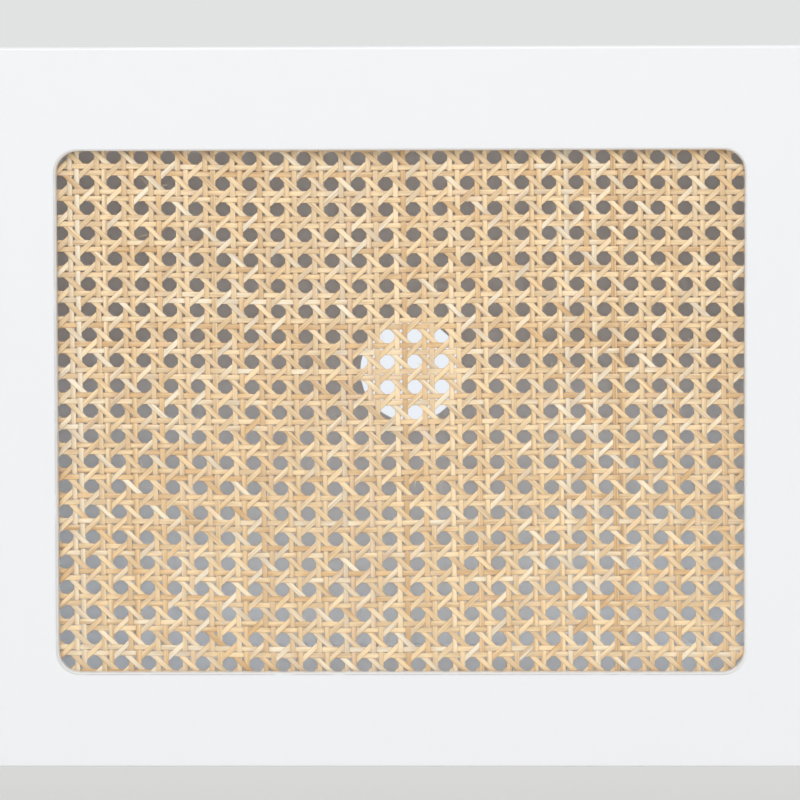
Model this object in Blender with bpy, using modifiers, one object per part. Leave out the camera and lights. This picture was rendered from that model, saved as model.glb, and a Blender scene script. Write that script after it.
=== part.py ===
"""A low TV stand: a white lacquered carcass on turned wooden legs, closed by three doors.

Each door is a one-piece frame round a cane panel. It swings on two cup hinges, and a push latch under the
top holds it shut. Metres, +Z up. The doors face -Y, the floor is Z = 0 and the origin is under the middle.
"""

import math

import bmesh
import bpy
from mathutils import Matrix, Vector

# Clearance between pieces that touch
SEAT_GAP = 0.0003
# How far a cutter runs past the faces that it opens
CUT_OVER = 0.004

# Carcass
BODY_WIDTH = 1.300
BODY_HEIGHT = 0.346
CARCASS_DEPTH = 0.380
PANEL_THICKNESS = 0.016
PANEL_EASE = 0.0008
BACK_THICKNESS = 0.006
BACK_INSET = 0.010
BACK_GROOVE_DEPTH = 0.006
CABLE_HOLE_DIAMETER = 0.060
CABLE_HOLE_RISE = 0.004

# Legs
LEG_LENGTH = 0.147
LEG_TOP_RADIUS = 0.018
LEG_FOOT_RADIUS = 0.011
LEG_EASE = 0.0015
LEG_SIDE_INSET = 0.075
LEG_FRONT_INSET = 0.065
LEG_PLATE_RADIUS = 0.034
LEG_PLATE_THICKNESS = 0.0024
LEG_STUD_RADIUS = 0.004
LEG_STUD_LENGTH = 0.022

# Hinges, counted from the door's hinge edge
PIN_EDGE_DISTANCE = 0.009
PIN_RADIUS = 0.002
PIN_LENGTH = 0.0174
KNUCKLE_WALL = 0.0009
CUP_EDGE_DISTANCE = 0.0035
CUP_BORE_RADIUS = 0.0175
CUP_WALL = 0.0008
CUP_SKIN = 0.0039
CUP_LUG_WALL = 0.0011
FLANGE_THICKNESS = 0.001
FLANGE_WIDTH = 0.026
FLANGE_HEIGHT = 0.062
FLANGE_RADIUS = 0.007
ARM_THICKNESS = 0.0022
ARM_WIDTH = 0.009
ARM_CRANK = 0.013
ARM_REACH = 0.062
HINGE_PLATE_LENGTH = 0.044
HINGE_PLATE_HEIGHT = 0.032
HINGE_PLATE_SETBACK = 0.010
HINGE_INSET = 0.078

# Doors
DOOR_THICKNESS = 0.018
DOOR_GAP = 0.0035
DOOR_STANDOFF = 0.003
DOOR_EDGE_RADIUS = 0.0025
TOP_RAIL = 0.0495
BOTTOM_RAIL = 0.045
WINDOW_RADIUS = 0.0105
REBATE_DEPTH = 0.0115
REBATE_MARGIN = 0.006
RETAINER_THICKNESS = 0.003
RETAINER_LAP = 0.003
RETAINER_SETBACK = 0.002
RETAINER_RADIUS = 0.004
RETAINER_TO_CUP = 0.003

# Cane: the net has one gap for every four of the real weave
CANE_THICKNESS = 0.003
CANE_GAP_PITCH = 0.0265
CANE_GAP_SIZE = 0.0135

# Push latches, counted from the door's free edge
LATCH_INSET = 0.030
LATCH_WIDTH = 0.014
LATCH_HEIGHT = 0.013
LATCH_LENGTH = 0.048
LATCH_TRAVEL = 0.003
PLUNGER_TIP_RADIUS = 0.005
PLUNGER_TIP_LENGTH = 0.0025
PLUNGER_ROD_RADIUS = 0.004
PLUNGER_ROD_LENGTH = 0.030
STRIKE_WIDTH = 0.016
STRIKE_HEIGHT = 0.012
STRIKE_THICKNESS = 0.0012

# Facets
ROUND_STEPS = 32
SMALL_ROUND_STEPS = 16
CORNER_STEPS = 6
EDGE_STEPS = 3

# Worked out from the sizes above
DOOR_WIDTH = (BODY_WIDTH - 2 * DOOR_GAP) / 3
CUP_BORE_DEPTH = DOOR_THICKNESS - CUP_SKIN
CUP_CENTRE = CUP_EDGE_DISTANCE + CUP_BORE_RADIUS
STILE_WIDTH = CUP_CENTRE + CUP_BORE_RADIUS + RETAINER_TO_CUP + RETAINER_LAP + REBATE_MARGIN
WINDOW_WIDTH = DOOR_WIDTH - 2 * STILE_WIDTH
WINDOW_HEIGHT = BODY_HEIGHT - TOP_RAIL - BOTTOM_RAIL
WINDOW_CENTRE_UP = BOTTOM_RAIL + WINDOW_HEIGHT / 2
DEPTH = DOOR_THICKNESS + DOOR_STANDOFF + CARCASS_DEPTH
FRONT_Y = -DEPTH / 2
BACK_Y = DEPTH / 2
DOOR_BACK_Y = FRONT_Y + DOOR_THICKNESS
CARCASS_Y = DOOR_BACK_Y + DOOR_STANDOFF
BODY_Z = LEG_LENGTH + SEAT_GAP + LEG_PLATE_THICKNESS + SEAT_GAP
TOP_Z = BODY_Z + BODY_HEIGHT
FLOOR_PANEL_Z = BODY_Z + PANEL_THICKNESS
CEILING_Z = TOP_Z - PANEL_THICKNESS
SIDE_X = BODY_WIDTH / 2 - PANEL_THICKNESS
DIVIDER_X = (DOOR_WIDTH + DOOR_GAP) / 2
DIVIDER_FACE_X = DIVIDER_X + PANEL_THICKNESS / 2
DIVIDER_INNER_X = DIVIDER_X - PANEL_THICKNESS / 2
LATCH_UP = BODY_HEIGHT - PANEL_THICKNESS - SEAT_GAP - LATCH_HEIGHT / 2
PLUNGER_Y = DOOR_BACK_Y + SEAT_GAP + STRIKE_THICKNESS + SEAT_GAP
LATCH_Y = PLUNGER_Y + PLUNGER_TIP_LENGTH + LATCH_TRAVEL + SEAT_GAP


def clear_scene():
    for obj in list(bpy.data.objects):
        bpy.data.objects.remove(obj, do_unlink=True)


def new_collection(name):
    collection = bpy.data.collections.new(name)
    bpy.context.scene.collection.children.link(collection)
    return collection


def new_material(name, colour, roughness, metallic=0.0):
    material = bpy.data.materials.new(name)
    material.use_nodes = True
    shader = material.node_tree.nodes["Principled BSDF"]
    shader.inputs["Base Color"].default_value = (*colour, 1.0)
    shader.inputs["Roughness"].default_value = roughness
    shader.inputs["Metallic"].default_value = metallic
    return material


clear_scene()
PARTS = new_collection("tv_stand")
CUTTERS = new_collection("cutters")
WHITE_LACQUER = new_material("white_lacquer", (0.87, 0.88, 0.89), 0.35)
WHITE_BOARD = new_material("white_board", (0.85, 0.85, 0.85), 0.5)
CANE = new_material("cane", (0.86, 0.66, 0.40), 0.45)
BEECH = new_material("beech", (0.64, 0.43, 0.25), 0.45)
NICKEL = new_material("nickel", (0.62, 0.60, 0.57), 0.3, 1.0)
STEEL = new_material("steel", (0.52, 0.52, 0.53), 0.35, 1.0)
WHITE_PLASTIC = new_material("white_plastic", (0.82, 0.82, 0.80), 0.4)


def place(name, data, location, parent=None):
    """A new object for this mesh or curve, in the parts' collection."""
    obj = bpy.data.objects.new(name, data)
    PARTS.objects.link(obj)
    obj.location = location
    obj.parent = parent
    return obj


def finish(obj, material):
    obj.data.materials.append(material)
    return obj


def mesh_from(name, bm):
    mesh = bpy.data.meshes.new(name)
    bm.to_mesh(mesh)
    bm.free()
    return mesh


def box(name, corner, opposite, parent=None):
    """A block between two opposite corners, with its origin at its middle."""
    corner, opposite = Vector(corner), Vector(opposite)
    size = Vector([abs(side) for side in opposite - corner])
    bm = bmesh.new()
    bmesh.ops.create_cube(bm, size=1.0, matrix=Matrix.Diagonal(size).to_4x4())
    return place(name, mesh_from(name, bm), (corner + opposite) / 2, parent)


def cylinder(name, radius, start, end, steps, parent=None):
    """A round bar from one point to another, with its origin at its middle."""
    start, end = Vector(start), Vector(end)
    along = end - start
    turn = along.to_track_quat("Z", "Y").to_matrix().to_4x4()
    bm = bmesh.new()
    bmesh.ops.create_cone(
        bm, cap_ends=True, segments=steps, radius1=radius, radius2=radius, depth=along.length, matrix=turn
    )
    mesh = mesh_from(name, bm)
    mesh.shade_smooth()
    mesh.set_sharp_from_angle(angle=math.radians(40))
    return place(name, mesh, (start + end) / 2, parent)


def turned(name, profile, steps, location, parent=None):
    """A profile of radius and height, from top to bottom, spun round the local Z axis."""
    bm = bmesh.new()
    points = [bm.verts.new((radius, 0.0, height)) for radius, height in profile]
    for upper, lower in zip(points, points[1:]):
        bm.edges.new((upper, lower))
    obj = place(name, mesh_from(name, bm), location, parent)
    screw = obj.modifiers.new("turn", "SCREW")
    screw.steps = steps
    screw.render_steps = steps
    screw.use_merge_vertices = True
    screw.merge_threshold = 0.00001
    return obj


def prism(name, outlines, thickness, location, parent=None, upright=False):
    """A flat outline with any holes in it. It lies in XY, or stands in XZ when upright."""
    curve = bpy.data.curves.new(name, "CURVE")
    curve.dimensions = "2D"
    curve.fill_mode = "BOTH"
    curve.extrude = thickness / 2
    for outline in outlines:
        spline = curve.splines.new("POLY")
        spline.points.add(len(outline) - 1)
        for point, (across, up) in zip(spline.points, outline):
            point.co = (across, up, 0.0, 1.0)
        spline.use_cyclic_u = True
    obj = place(name, curve, location, parent)
    if upright:
        obj.rotation_euler.x = math.radians(90)
    return obj


def as_mesh(flat):
    """The prism as a welded mesh, which a Boolean can take."""
    graph = bpy.context.evaluated_depsgraph_get()
    mesh = bpy.data.meshes.new_from_object(flat.evaluated_get(graph))
    bm = bmesh.new()
    bm.from_mesh(mesh)
    bmesh.ops.remove_doubles(bm, verts=bm.verts, dist=0.000001)
    bm.to_mesh(mesh)
    bm.free()
    name = flat.name
    solid = place(name + "_solid", mesh, flat.location, flat.parent)
    solid.rotation_euler = flat.rotation_euler
    bpy.data.objects.remove(flat, do_unlink=True)
    solid.name = name
    return solid


def soften(obj, width, steps):
    """Rounds the edges of a block."""
    bevel = obj.modifiers.new("edges", "BEVEL")
    bevel.width = width
    bevel.segments = steps
    return obj


def combine(obj, other, operation):
    """Cuts the other shape from the object, or joins it on, and puts the other one away."""
    boolean = obj.modifiers.new(other.name, "BOOLEAN")
    boolean.operation = operation
    boolean.object = other
    PARTS.objects.unlink(other)
    CUTTERS.objects.link(other)
    other.hide_render = True
    other.display_type = "WIRE"


def cut(obj, other):
    combine(obj, other, "DIFFERENCE")


def join(obj, other):
    combine(obj, other, "UNION")


def arc(centre, radius, start, end, steps):
    """Points along an arc, both ends included, with angles in degrees."""
    points = []
    for step in range(steps + 1):
        angle = math.radians(start + (end - start) * step / steps)
        points.append((centre[0] + radius * math.cos(angle), centre[1] + radius * math.sin(angle)))
    return points


def rectangle(width, height, centre=(0.0, 0.0)):
    x, y = width / 2, height / 2
    return [(centre[0] + i * x, centre[1] + j * y) for i, j in ((-1, -1), (1, -1), (1, 1), (-1, 1))]


def rounded_rectangle(width, height, radius):
    points = []
    corners = rectangle(width - 2 * radius, height - 2 * radius)
    for corner, start in zip(corners, (180, 270, 0, 90)):
        points += arc(corner, radius, start, start + 90, CORNER_STEPS)
    return points


class Door:
    """One door's place: its hinge edge, which way it runs from there, and what it hangs on."""

    def __init__(self, name, side, hinge_x, upright_x):
        self.name = name
        self.side = side
        self.hinge_x = hinge_x
        self.upright = abs(upright_x - hinge_x)
        self.axis = bpy.data.objects.new(name + "_axis", None)
        PARTS.objects.link(self.axis)
        axis_y = FRONT_Y + DOOR_THICKNESS / 2
        self.axis.location = (self.x(PIN_EDGE_DISTANCE), axis_y, BODY_Z)

    def x(self, across):
        """The world X of a point counted from the hinge edge."""
        return self.hinge_x + self.side * across

    def at(self, across, depth, up):
        """A point on the axis's own frame, counted from the hinge edge, the back face and the bottom."""
        return Vector((self.side * (across - PIN_EDGE_DISTANCE), DOOR_THICKNESS / 2 - depth, up))

    def hinges(self):
        """The name and height of each hinge."""
        return (
            (self.name + "_upper_hinge", BODY_HEIGHT - HINGE_INSET),
            (self.name + "_lower_hinge", HINGE_INSET),
        )


def make_panels():
    """Top, bottom and uprights. A groove in the top and the bottom takes the back panels."""
    half = BODY_WIDTH / 2
    groove_front = BACK_Y - BACK_INSET - BACK_THICKNESS - SEAT_GAP
    groove_back = BACK_Y - BACK_INSET + SEAT_GAP
    for name, low, mouth, deep in (
        ("bottom_panel", BODY_Z, FLOOR_PANEL_Z + CUT_OVER, FLOOR_PANEL_Z - BACK_GROOVE_DEPTH),
        ("top_panel", CEILING_Z, CEILING_Z - CUT_OVER, CEILING_Z + BACK_GROOVE_DEPTH),
    ):
        panel = box(name, (-half, CARCASS_Y, low), (half, BACK_Y, low + PANEL_THICKNESS))
        soften(panel, PANEL_EASE, 1)
        cut(panel, box(name + "_groove", (-SIDE_X, groove_front, mouth), (SIDE_X, groove_back, deep)))
        finish(panel, WHITE_LACQUER)
    low, high = FLOOR_PANEL_Z + SEAT_GAP, CEILING_Z - SEAT_GAP
    for name, left in (
        ("left_side_panel", -half),
        ("left_divider", -DIVIDER_FACE_X),
        ("right_divider", DIVIDER_INNER_X),
        ("right_side_panel", SIDE_X),
    ):
        upright = box(name, (left, CARCASS_Y, low), (left + PANEL_THICKNESS, BACK_Y, high))
        finish(soften(upright, PANEL_EASE, 1), WHITE_LACQUER)


def make_back_panels():
    """One thin board behind each compartment, with a cable hole just above its middle."""
    front, back = BACK_Y - BACK_INSET - BACK_THICKNESS, BACK_Y - BACK_INSET
    low = FLOOR_PANEL_Z - BACK_GROOVE_DEPTH + SEAT_GAP
    high = CEILING_Z + BACK_GROOVE_DEPTH - SEAT_GAP
    hole_up = (low + high) / 2 + CABLE_HOLE_RISE
    for name, left, right in (
        ("left_back_panel", -SIDE_X, -DIVIDER_FACE_X),
        ("middle_back_panel", -DIVIDER_INNER_X, DIVIDER_INNER_X),
        ("right_back_panel", DIVIDER_FACE_X, SIDE_X),
    ):
        board = box(name, (left + SEAT_GAP, front, low), (right - SEAT_GAP, back, high))
        centre = (left + right) / 2
        start, end = (centre, front - CUT_OVER, hole_up), (centre, back + CUT_OVER, hole_up)
        cut(board, cylinder(name + "_hole", CABLE_HOLE_DIAMETER / 2, start, end, ROUND_STEPS))
        finish(board, WHITE_BOARD)


def make_legs():
    """Turned, tapered legs, each on the stud of a round plate under the bottom panel."""
    leg_profile = (
        (0.0, LEG_LENGTH),
        (LEG_TOP_RADIUS - LEG_EASE, LEG_LENGTH),
        (LEG_TOP_RADIUS, LEG_LENGTH - LEG_EASE),
        (LEG_FOOT_RADIUS, LEG_EASE),
        (LEG_FOOT_RADIUS - LEG_EASE, 0.0),
        (0.0, 0.0),
    )
    plate_profile = (
        (0.0, LEG_PLATE_THICKNESS),
        (LEG_PLATE_RADIUS, LEG_PLATE_THICKNESS),
        (LEG_PLATE_RADIUS, 0.0),
        (LEG_STUD_RADIUS, 0.0),
        (LEG_STUD_RADIUS, -LEG_STUD_LENGTH),
        (0.0, -LEG_STUD_LENGTH),
    )
    side = BODY_WIDTH / 2 - LEG_SIDE_INSET
    bore_end = LEG_LENGTH - LEG_STUD_LENGTH
    for row, y in (("front", CARCASS_Y + LEG_FRONT_INSET), ("back", BACK_Y - LEG_FRONT_INSET)):
        for hand, x in (("left", -side), ("right", side)):
            name = f"{hand}_{row}_leg"
            leg = turned(name, leg_profile, SMALL_ROUND_STEPS, (x, y, 0.0))
            start, end = (x, y, bore_end), (x, y, LEG_LENGTH + CUT_OVER)
            cut(leg, cylinder(name + "_bore", LEG_STUD_RADIUS + SEAT_GAP, start, end, SMALL_ROUND_STEPS))
            finish(leg, BEECH)
            plate_z = LEG_LENGTH + SEAT_GAP
            plate = turned(name + "_plate", plate_profile, SMALL_ROUND_STEPS, (x, y, plate_z))
            finish(plate, STEEL)


def make_door_frame(door):
    """The frame: a board with round edges, cut for its window, the cane's rebate and the hinge cups."""
    corner, opposite = door.at(0.0, 0.0, 0.0), door.at(DOOR_WIDTH, DOOR_THICKNESS, BODY_HEIGHT)
    frame = box(door.name + "_frame", corner, opposite, door.axis)
    soften(frame, DOOR_EDGE_RADIUS, EDGE_STEPS)
    outline = rounded_rectangle(WINDOW_WIDTH, WINDOW_HEIGHT, WINDOW_RADIUS)
    middle = door.at(DOOR_WIDTH / 2, DOOR_THICKNESS / 2, WINDOW_CENTRE_UP)
    through = DOOR_THICKNESS + 2 * CUT_OVER
    cut(frame, as_mesh(prism(door.name + "_window", [outline], through, middle, door.axis, upright=True)))
    near, far = STILE_WIDTH - REBATE_MARGIN, DOOR_WIDTH - STILE_WIDTH + REBATE_MARGIN
    low, high = BOTTOM_RAIL - REBATE_MARGIN, BODY_HEIGHT - TOP_RAIL + REBATE_MARGIN
    rebate = box(
        door.name + "_rebate", door.at(near, -CUT_OVER, low), door.at(far, REBATE_DEPTH, high), door.axis
    )
    cut(frame, rebate)
    for name, up in door.hinges():
        start, end = door.at(CUP_CENTRE, -CUT_OVER, up), door.at(CUP_CENTRE, CUP_BORE_DEPTH, up)
        cut(frame, cylinder(name + "_pocket", CUP_BORE_RADIUS, start, end, ROUND_STEPS, door.axis))
    finish(frame, WHITE_LACQUER)


def make_cane(door):
    """The cane panel as a flat net with square gaps, at the bottom of the rebate."""
    margin = REBATE_MARGIN - SEAT_GAP
    outlines = [rectangle(WINDOW_WIDTH + 2 * margin, WINDOW_HEIGHT + 2 * margin)]
    columns = int(WINDOW_WIDTH / CANE_GAP_PITCH)
    rows = int(WINDOW_HEIGHT / CANE_GAP_PITCH)
    for column in range(columns):
        for row in range(rows):
            across = (column - (columns - 1) / 2) * CANE_GAP_PITCH
            up = (row - (rows - 1) / 2) * CANE_GAP_PITCH
            outlines.append(rectangle(CANE_GAP_SIZE, CANE_GAP_SIZE, (across, up)))
    middle = door.at(DOOR_WIDTH / 2, REBATE_DEPTH - CANE_THICKNESS / 2, WINDOW_CENTRE_UP)
    thickness = CANE_THICKNESS - 2 * SEAT_GAP
    net = prism(door.name + "_cane", outlines, thickness, middle, door.axis, upright=True)
    finish(net, CANE)


def make_retainer(door):
    """The ring on the door's back. Its tongue fills the rebate and presses the cane's edge."""
    lap = 2 * (REBATE_MARGIN + RETAINER_LAP)
    inset = 2 * RETAINER_SETBACK
    outer = rounded_rectangle(WINDOW_WIDTH + lap, WINDOW_HEIGHT + lap, RETAINER_RADIUS)
    inner_radius = WINDOW_RADIUS + RETAINER_SETBACK
    inner = rounded_rectangle(WINDOW_WIDTH + inset, WINDOW_HEIGHT + inset, inner_radius)
    low, high = -SEAT_GAP - RETAINER_THICKNESS, REBATE_DEPTH - CANE_THICKNESS
    middle = door.at(DOOR_WIDTH / 2, (low + high) / 2, WINDOW_CENTRE_UP)
    name = door.name + "_cane_retainer"
    ring = as_mesh(prism(name, [outer, inner], high - low, middle, door.axis, upright=True))
    tongue = 2 * (REBATE_MARGIN - SEAT_GAP)
    step = [
        rectangle(WINDOW_WIDTH + 2 * lap, WINDOW_HEIGHT + 2 * lap),
        rectangle(WINDOW_WIDTH + tongue, WINDOW_HEIGHT + tongue),
    ]
    step_depth = high + SEAT_GAP + CUT_OVER
    step_middle = door.at(DOOR_WIDTH / 2, step_depth / 2 - SEAT_GAP, WINDOW_CENTRE_UP)
    cut(ring, as_mesh(prism(name + "_step", step, step_depth, step_middle, door.axis, upright=True)))
    finish(ring, WHITE_BOARD)


def make_hinge_cup(door, name, up):
    """A cup with two wings on the door's back. Two lugs left standing in it hold the pin."""
    rim = -SEAT_GAP - FLANGE_THICKNESS
    outer = CUP_BORE_RADIUS - SEAT_GAP
    base = CUP_BORE_DEPTH - SEAT_GAP
    start, end = door.at(CUP_CENTRE, rim, up), door.at(CUP_CENTRE, base, up)
    cup = cylinder(name + "_cup", outer, start, end, ROUND_STEPS, door.axis)
    wings = rounded_rectangle(FLANGE_WIDTH, FLANGE_HEIGHT, FLANGE_RADIUS)
    flange_middle = door.at(CUP_CENTRE, rim + FLANGE_THICKNESS / 2, up)
    flange = prism(name + "_wings", [wings], FLANGE_THICKNESS, flange_middle, door.axis, upright=True)
    join(cup, as_mesh(flange))
    mouth = door.at(CUP_CENTRE, rim - CUT_OVER, up)
    floor = door.at(CUP_CENTRE, base - CUP_WALL, up)
    hollow = cylinder(name + "_hollow", outer - CUP_WALL, mouth, floor, ROUND_STEPS, door.axis)
    lug = PIN_RADIUS + SEAT_GAP + CUP_LUG_WALL
    lug_inner = ARM_WIDTH / 2 + SEAT_GAP
    lug_front = DOOR_THICKNESS / 2 - lug
    for hand in (-1, 1):
        corner = door.at(PIN_EDGE_DISTANCE - lug, lug_front, up + hand * lug_inner)
        opposite = door.at(PIN_EDGE_DISTANCE + lug, CUP_BORE_DEPTH, up + hand * CUP_BORE_RADIUS)
        cut(hollow, box(f"{name}_lug_{hand}", corner, opposite, door.axis))
    cut(cup, hollow)
    half = PIN_LENGTH / 2 + SEAT_GAP
    low = door.at(PIN_EDGE_DISTANCE, DOOR_THICKNESS / 2, up - half)
    high = door.at(PIN_EDGE_DISTANCE, DOOR_THICKNESS / 2, up + half)
    cut(cup, cylinder(name + "_bore", PIN_RADIUS + SEAT_GAP, low, high, SMALL_ROUND_STEPS, door.axis))
    finish(cup, NICKEL)


def make_hinge_pin(door, name, up):
    low = door.at(PIN_EDGE_DISTANCE, DOOR_THICKNESS / 2, up - PIN_LENGTH / 2)
    high = door.at(PIN_EDGE_DISTANCE, DOOR_THICKNESS / 2, up + PIN_LENGTH / 2)
    pin = cylinder(name + "_pin", PIN_RADIUS, low, high, SMALL_ROUND_STEPS, door.axis)
    finish(pin, STEEL)


def make_hinge_arm(door, name, up):
    """A strip with a knuckle round the pin. It cranks sideways in the cup, then runs back."""
    half = ARM_THICKNESS / 2
    knuckle = PIN_RADIUS + SEAT_GAP + KNUCKLE_WALL
    lip = math.degrees(math.asin(half / knuckle))
    outline = arc((0.0, 0.0), knuckle, lip, 360 - lip, SMALL_ROUND_STEPS)
    outline += [
        (ARM_CRANK + half, -half),
        (ARM_CRANK + half, ARM_REACH),
        (ARM_CRANK - half, ARM_REACH),
        (ARM_CRANK - half, half),
    ]
    bore = arc((0.0, 0.0), PIN_RADIUS + SEAT_GAP, 0, 360, SMALL_ROUND_STEPS)[:-1]
    outlines = [[(door.side * x, y) for x, y in line] for line in (outline, bore)]
    location = door.axis.location + Vector((0.0, 0.0, up))
    finish(prism(name + "_arm", outlines, ARM_WIDTH, location), NICKEL)


def make_hinge_plate(door, name, up):
    """The block that carries the arm off the side panel or the divider."""
    near = door.upright + SEAT_GAP
    far = PIN_EDGE_DISTANCE + ARM_CRANK - ARM_THICKNESS / 2 - SEAT_GAP
    front = CARCASS_Y + HINGE_PLATE_SETBACK
    low, high = BODY_Z + up - HINGE_PLATE_HEIGHT / 2, BODY_Z + up + HINGE_PLATE_HEIGHT / 2
    plate = box(
        name + "_plate", (door.x(near), front, low), (door.x(far), front + HINGE_PLATE_LENGTH, high)
    )
    finish(plate, NICKEL)


def make_latch(door):
    """The latch under the top panel, its plunger, and the strike plate on the door's back."""
    across = DOOR_WIDTH - LATCH_INSET
    x, z = door.x(across), BODY_Z + LATCH_UP
    low, high = z - LATCH_HEIGHT / 2, z + LATCH_HEIGHT / 2
    left, right = x - LATCH_WIDTH / 2, x + LATCH_WIDTH / 2
    housing = box(door.name + "_latch_housing", (left, LATCH_Y, low), (right, LATCH_Y + LATCH_LENGTH, high))
    rod_end = PLUNGER_TIP_LENGTH + PLUNGER_ROD_LENGTH
    bore_end = PLUNGER_Y + rod_end + LATCH_TRAVEL + SEAT_GAP
    bore = cylinder(
        door.name + "_latch_bore",
        PLUNGER_ROD_RADIUS + SEAT_GAP,
        (x, LATCH_Y - CUT_OVER, z),
        (x, bore_end, z),
        SMALL_ROUND_STEPS,
    )
    cut(housing, bore)
    finish(housing, WHITE_PLASTIC)
    profile = (
        (0.0, 0.0),
        (PLUNGER_TIP_RADIUS, 0.0),
        (PLUNGER_TIP_RADIUS, -PLUNGER_TIP_LENGTH),
        (PLUNGER_ROD_RADIUS, -PLUNGER_TIP_LENGTH),
        (PLUNGER_ROD_RADIUS, -rod_end),
        (0.0, -rod_end),
    )
    plunger = turned(door.name + "_latch_plunger", profile, SMALL_ROUND_STEPS, (x, PLUNGER_Y, z))
    plunger.rotation_euler.x = math.radians(90)
    finish(plunger, WHITE_PLASTIC)
    corner = door.at(across - STRIKE_WIDTH / 2, -SEAT_GAP, LATCH_UP - STRIKE_HEIGHT / 2)
    opposite = door.at(across + STRIKE_WIDTH / 2, -SEAT_GAP - STRIKE_THICKNESS, LATCH_UP + STRIKE_HEIGHT / 2)
    finish(box(door.name + "_strike_plate", corner, opposite, door.axis), STEEL)


def make_door(door):
    make_door_frame(door)
    make_cane(door)
    make_retainer(door)
    for name, up in door.hinges():
        make_hinge_cup(door, name, up)
        make_hinge_pin(door, name, up)
        make_hinge_arm(door, name, up)
        make_hinge_plate(door, name, up)
    make_latch(door)


def main():
    make_panels()
    make_back_panels()
    make_legs()
    half = BODY_WIDTH / 2
    make_door(Door("left_door", 1, -half, -SIDE_X))
    make_door(Door("middle_door", 1, -DOOR_WIDTH / 2, -DIVIDER_INNER_X))
    make_door(Door("right_door", -1, half, SIDE_X))


main()
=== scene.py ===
"""Looks for a low TV stand with cane doors, laid out as a Blender add-on and run as a script.

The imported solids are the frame. Lacquered door frames, woven cane, turned legs and the fittings' heads are
made here over them, and every solid that stays gets its finish. Metres, +Z up, the doors face -Y.
"""

import math

import bmesh
import bpy
import numpy as np
from bpy.props import (
    FloatProperty,
    FloatVectorProperty,
    IntProperty,
    PointerProperty,
)
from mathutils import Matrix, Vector


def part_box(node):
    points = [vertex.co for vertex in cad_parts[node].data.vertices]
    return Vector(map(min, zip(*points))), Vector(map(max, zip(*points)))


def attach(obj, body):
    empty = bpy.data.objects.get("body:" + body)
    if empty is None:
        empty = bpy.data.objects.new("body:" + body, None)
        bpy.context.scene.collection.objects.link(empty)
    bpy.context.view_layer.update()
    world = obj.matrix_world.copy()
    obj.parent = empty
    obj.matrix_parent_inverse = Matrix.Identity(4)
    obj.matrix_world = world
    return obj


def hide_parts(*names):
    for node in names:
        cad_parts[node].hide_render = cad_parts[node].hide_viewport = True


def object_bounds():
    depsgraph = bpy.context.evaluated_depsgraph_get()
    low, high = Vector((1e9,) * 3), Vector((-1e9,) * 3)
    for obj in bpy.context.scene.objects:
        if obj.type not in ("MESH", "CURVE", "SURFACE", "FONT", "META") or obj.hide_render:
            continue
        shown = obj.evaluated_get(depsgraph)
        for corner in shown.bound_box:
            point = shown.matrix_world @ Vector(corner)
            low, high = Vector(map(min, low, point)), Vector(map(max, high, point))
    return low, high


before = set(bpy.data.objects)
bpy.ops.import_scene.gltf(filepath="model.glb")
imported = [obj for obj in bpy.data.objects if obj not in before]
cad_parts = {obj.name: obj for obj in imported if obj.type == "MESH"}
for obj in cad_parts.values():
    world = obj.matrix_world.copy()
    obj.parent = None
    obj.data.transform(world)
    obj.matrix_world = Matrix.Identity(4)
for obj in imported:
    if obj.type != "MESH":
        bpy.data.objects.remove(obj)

bl_info = {
    "name": "Cane TV stand",
    "version": (1, 0, 0),
    "blender": (4, 5, 0),
    "location": "3D View > Sidebar > Cane stand",
    "description": "Dresses the packed TV stand: lacquer, cane, legs, fittings and a plain studio",
    "category": "Object",
}

CAD_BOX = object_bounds()
PLACES = ("left", "middle", "right")
DOORS = tuple(place + "_door" for place in PLACES)
LEGS = ("left_front_leg", "right_front_leg", "left_back_leg", "right_back_leg")
HINGES = tuple(f"{door}_{level}_hinge" for door in DOORS for level in ("upper", "lower"))
FULL_TURN = 2 * math.pi

# Samples along one pitch of the weave, and points round a strand
WEAVE_STEPS = 6
STRAND_SIDES = 10
# How much the samples draw together where strands cross
WEAVE_BUNCH = 0.28
# Width of a crossing's rise and fall, in pitches
CROSSING = 0.12
# Length of one wave of a row's bow, how it fades along a metre, and where it starts on each panel
BOW_LENGTH = 0.25
BOW_FADE = 2.58
BOW_STARTS = {"left_door": -0.09, "middle_door": -0.15, "right_door": -0.12}
# How far a strand strays, its range of widths, and the darkest and palest tone of each set. The slants'
# higher range is partly their own paler tone and partly a painted sheen highlight.
STRAY = 0.00012
FULLNESS = (0.92, 1.1)
TONES = {"up": (0.0, 0.86), "level": (0.0, 0.86), "slant": (0.3, 1.1)}
# Stray fibres: radius, lengths, how much they bow, and how far from a panel's middle they may be
FIBRE_RADIUS = 0.00011
FIBRE_LENGTHS = (0.004, 0.011)
FIBRE_BOW, FIBRE_SPREAD = 0.001, 0.45
BAKE_MAP = "OFBake"
# Uprights of the carcass, and the side of each that takes the joining cams
CAM_SIDES = {"left_side_panel": 1, "left_divider": 1, "right_divider": -1, "right_side_panel": -1}
# Places of fasteners, from the edges or the middle of what they hold
CAM_FRONT, CAM_BACK, CAM_ASIDE = 0.065, 0.075, 0.034
PIN_INSET, PINS_ACROSS, PINS_UP = 0.0055, 6, 4
CUP_SCREW_RISE, PLATE_SCREW_RISE = 0.0245, 0.0105
ARM_SCREW_PLACES = (0.008, 0.026)
LATCH_SCREW_FRONT, LATCH_SCREW_BACK = 0.012, 0.008
LEG_SCREW_DISTANCE, LEG_PLATE_THICKNESS = 0.0265, 0.0024
# Radius and height of the heads that have no setting of their own
ARM_SCREW, LATCH_SCREW, LEG_SCREW = (0.0031, 0.0007), (0.003, 0.0008), (0.0038, 0.0011)
CAM_RISE, PIN_RISE = 0.0008, 0.0004
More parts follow.
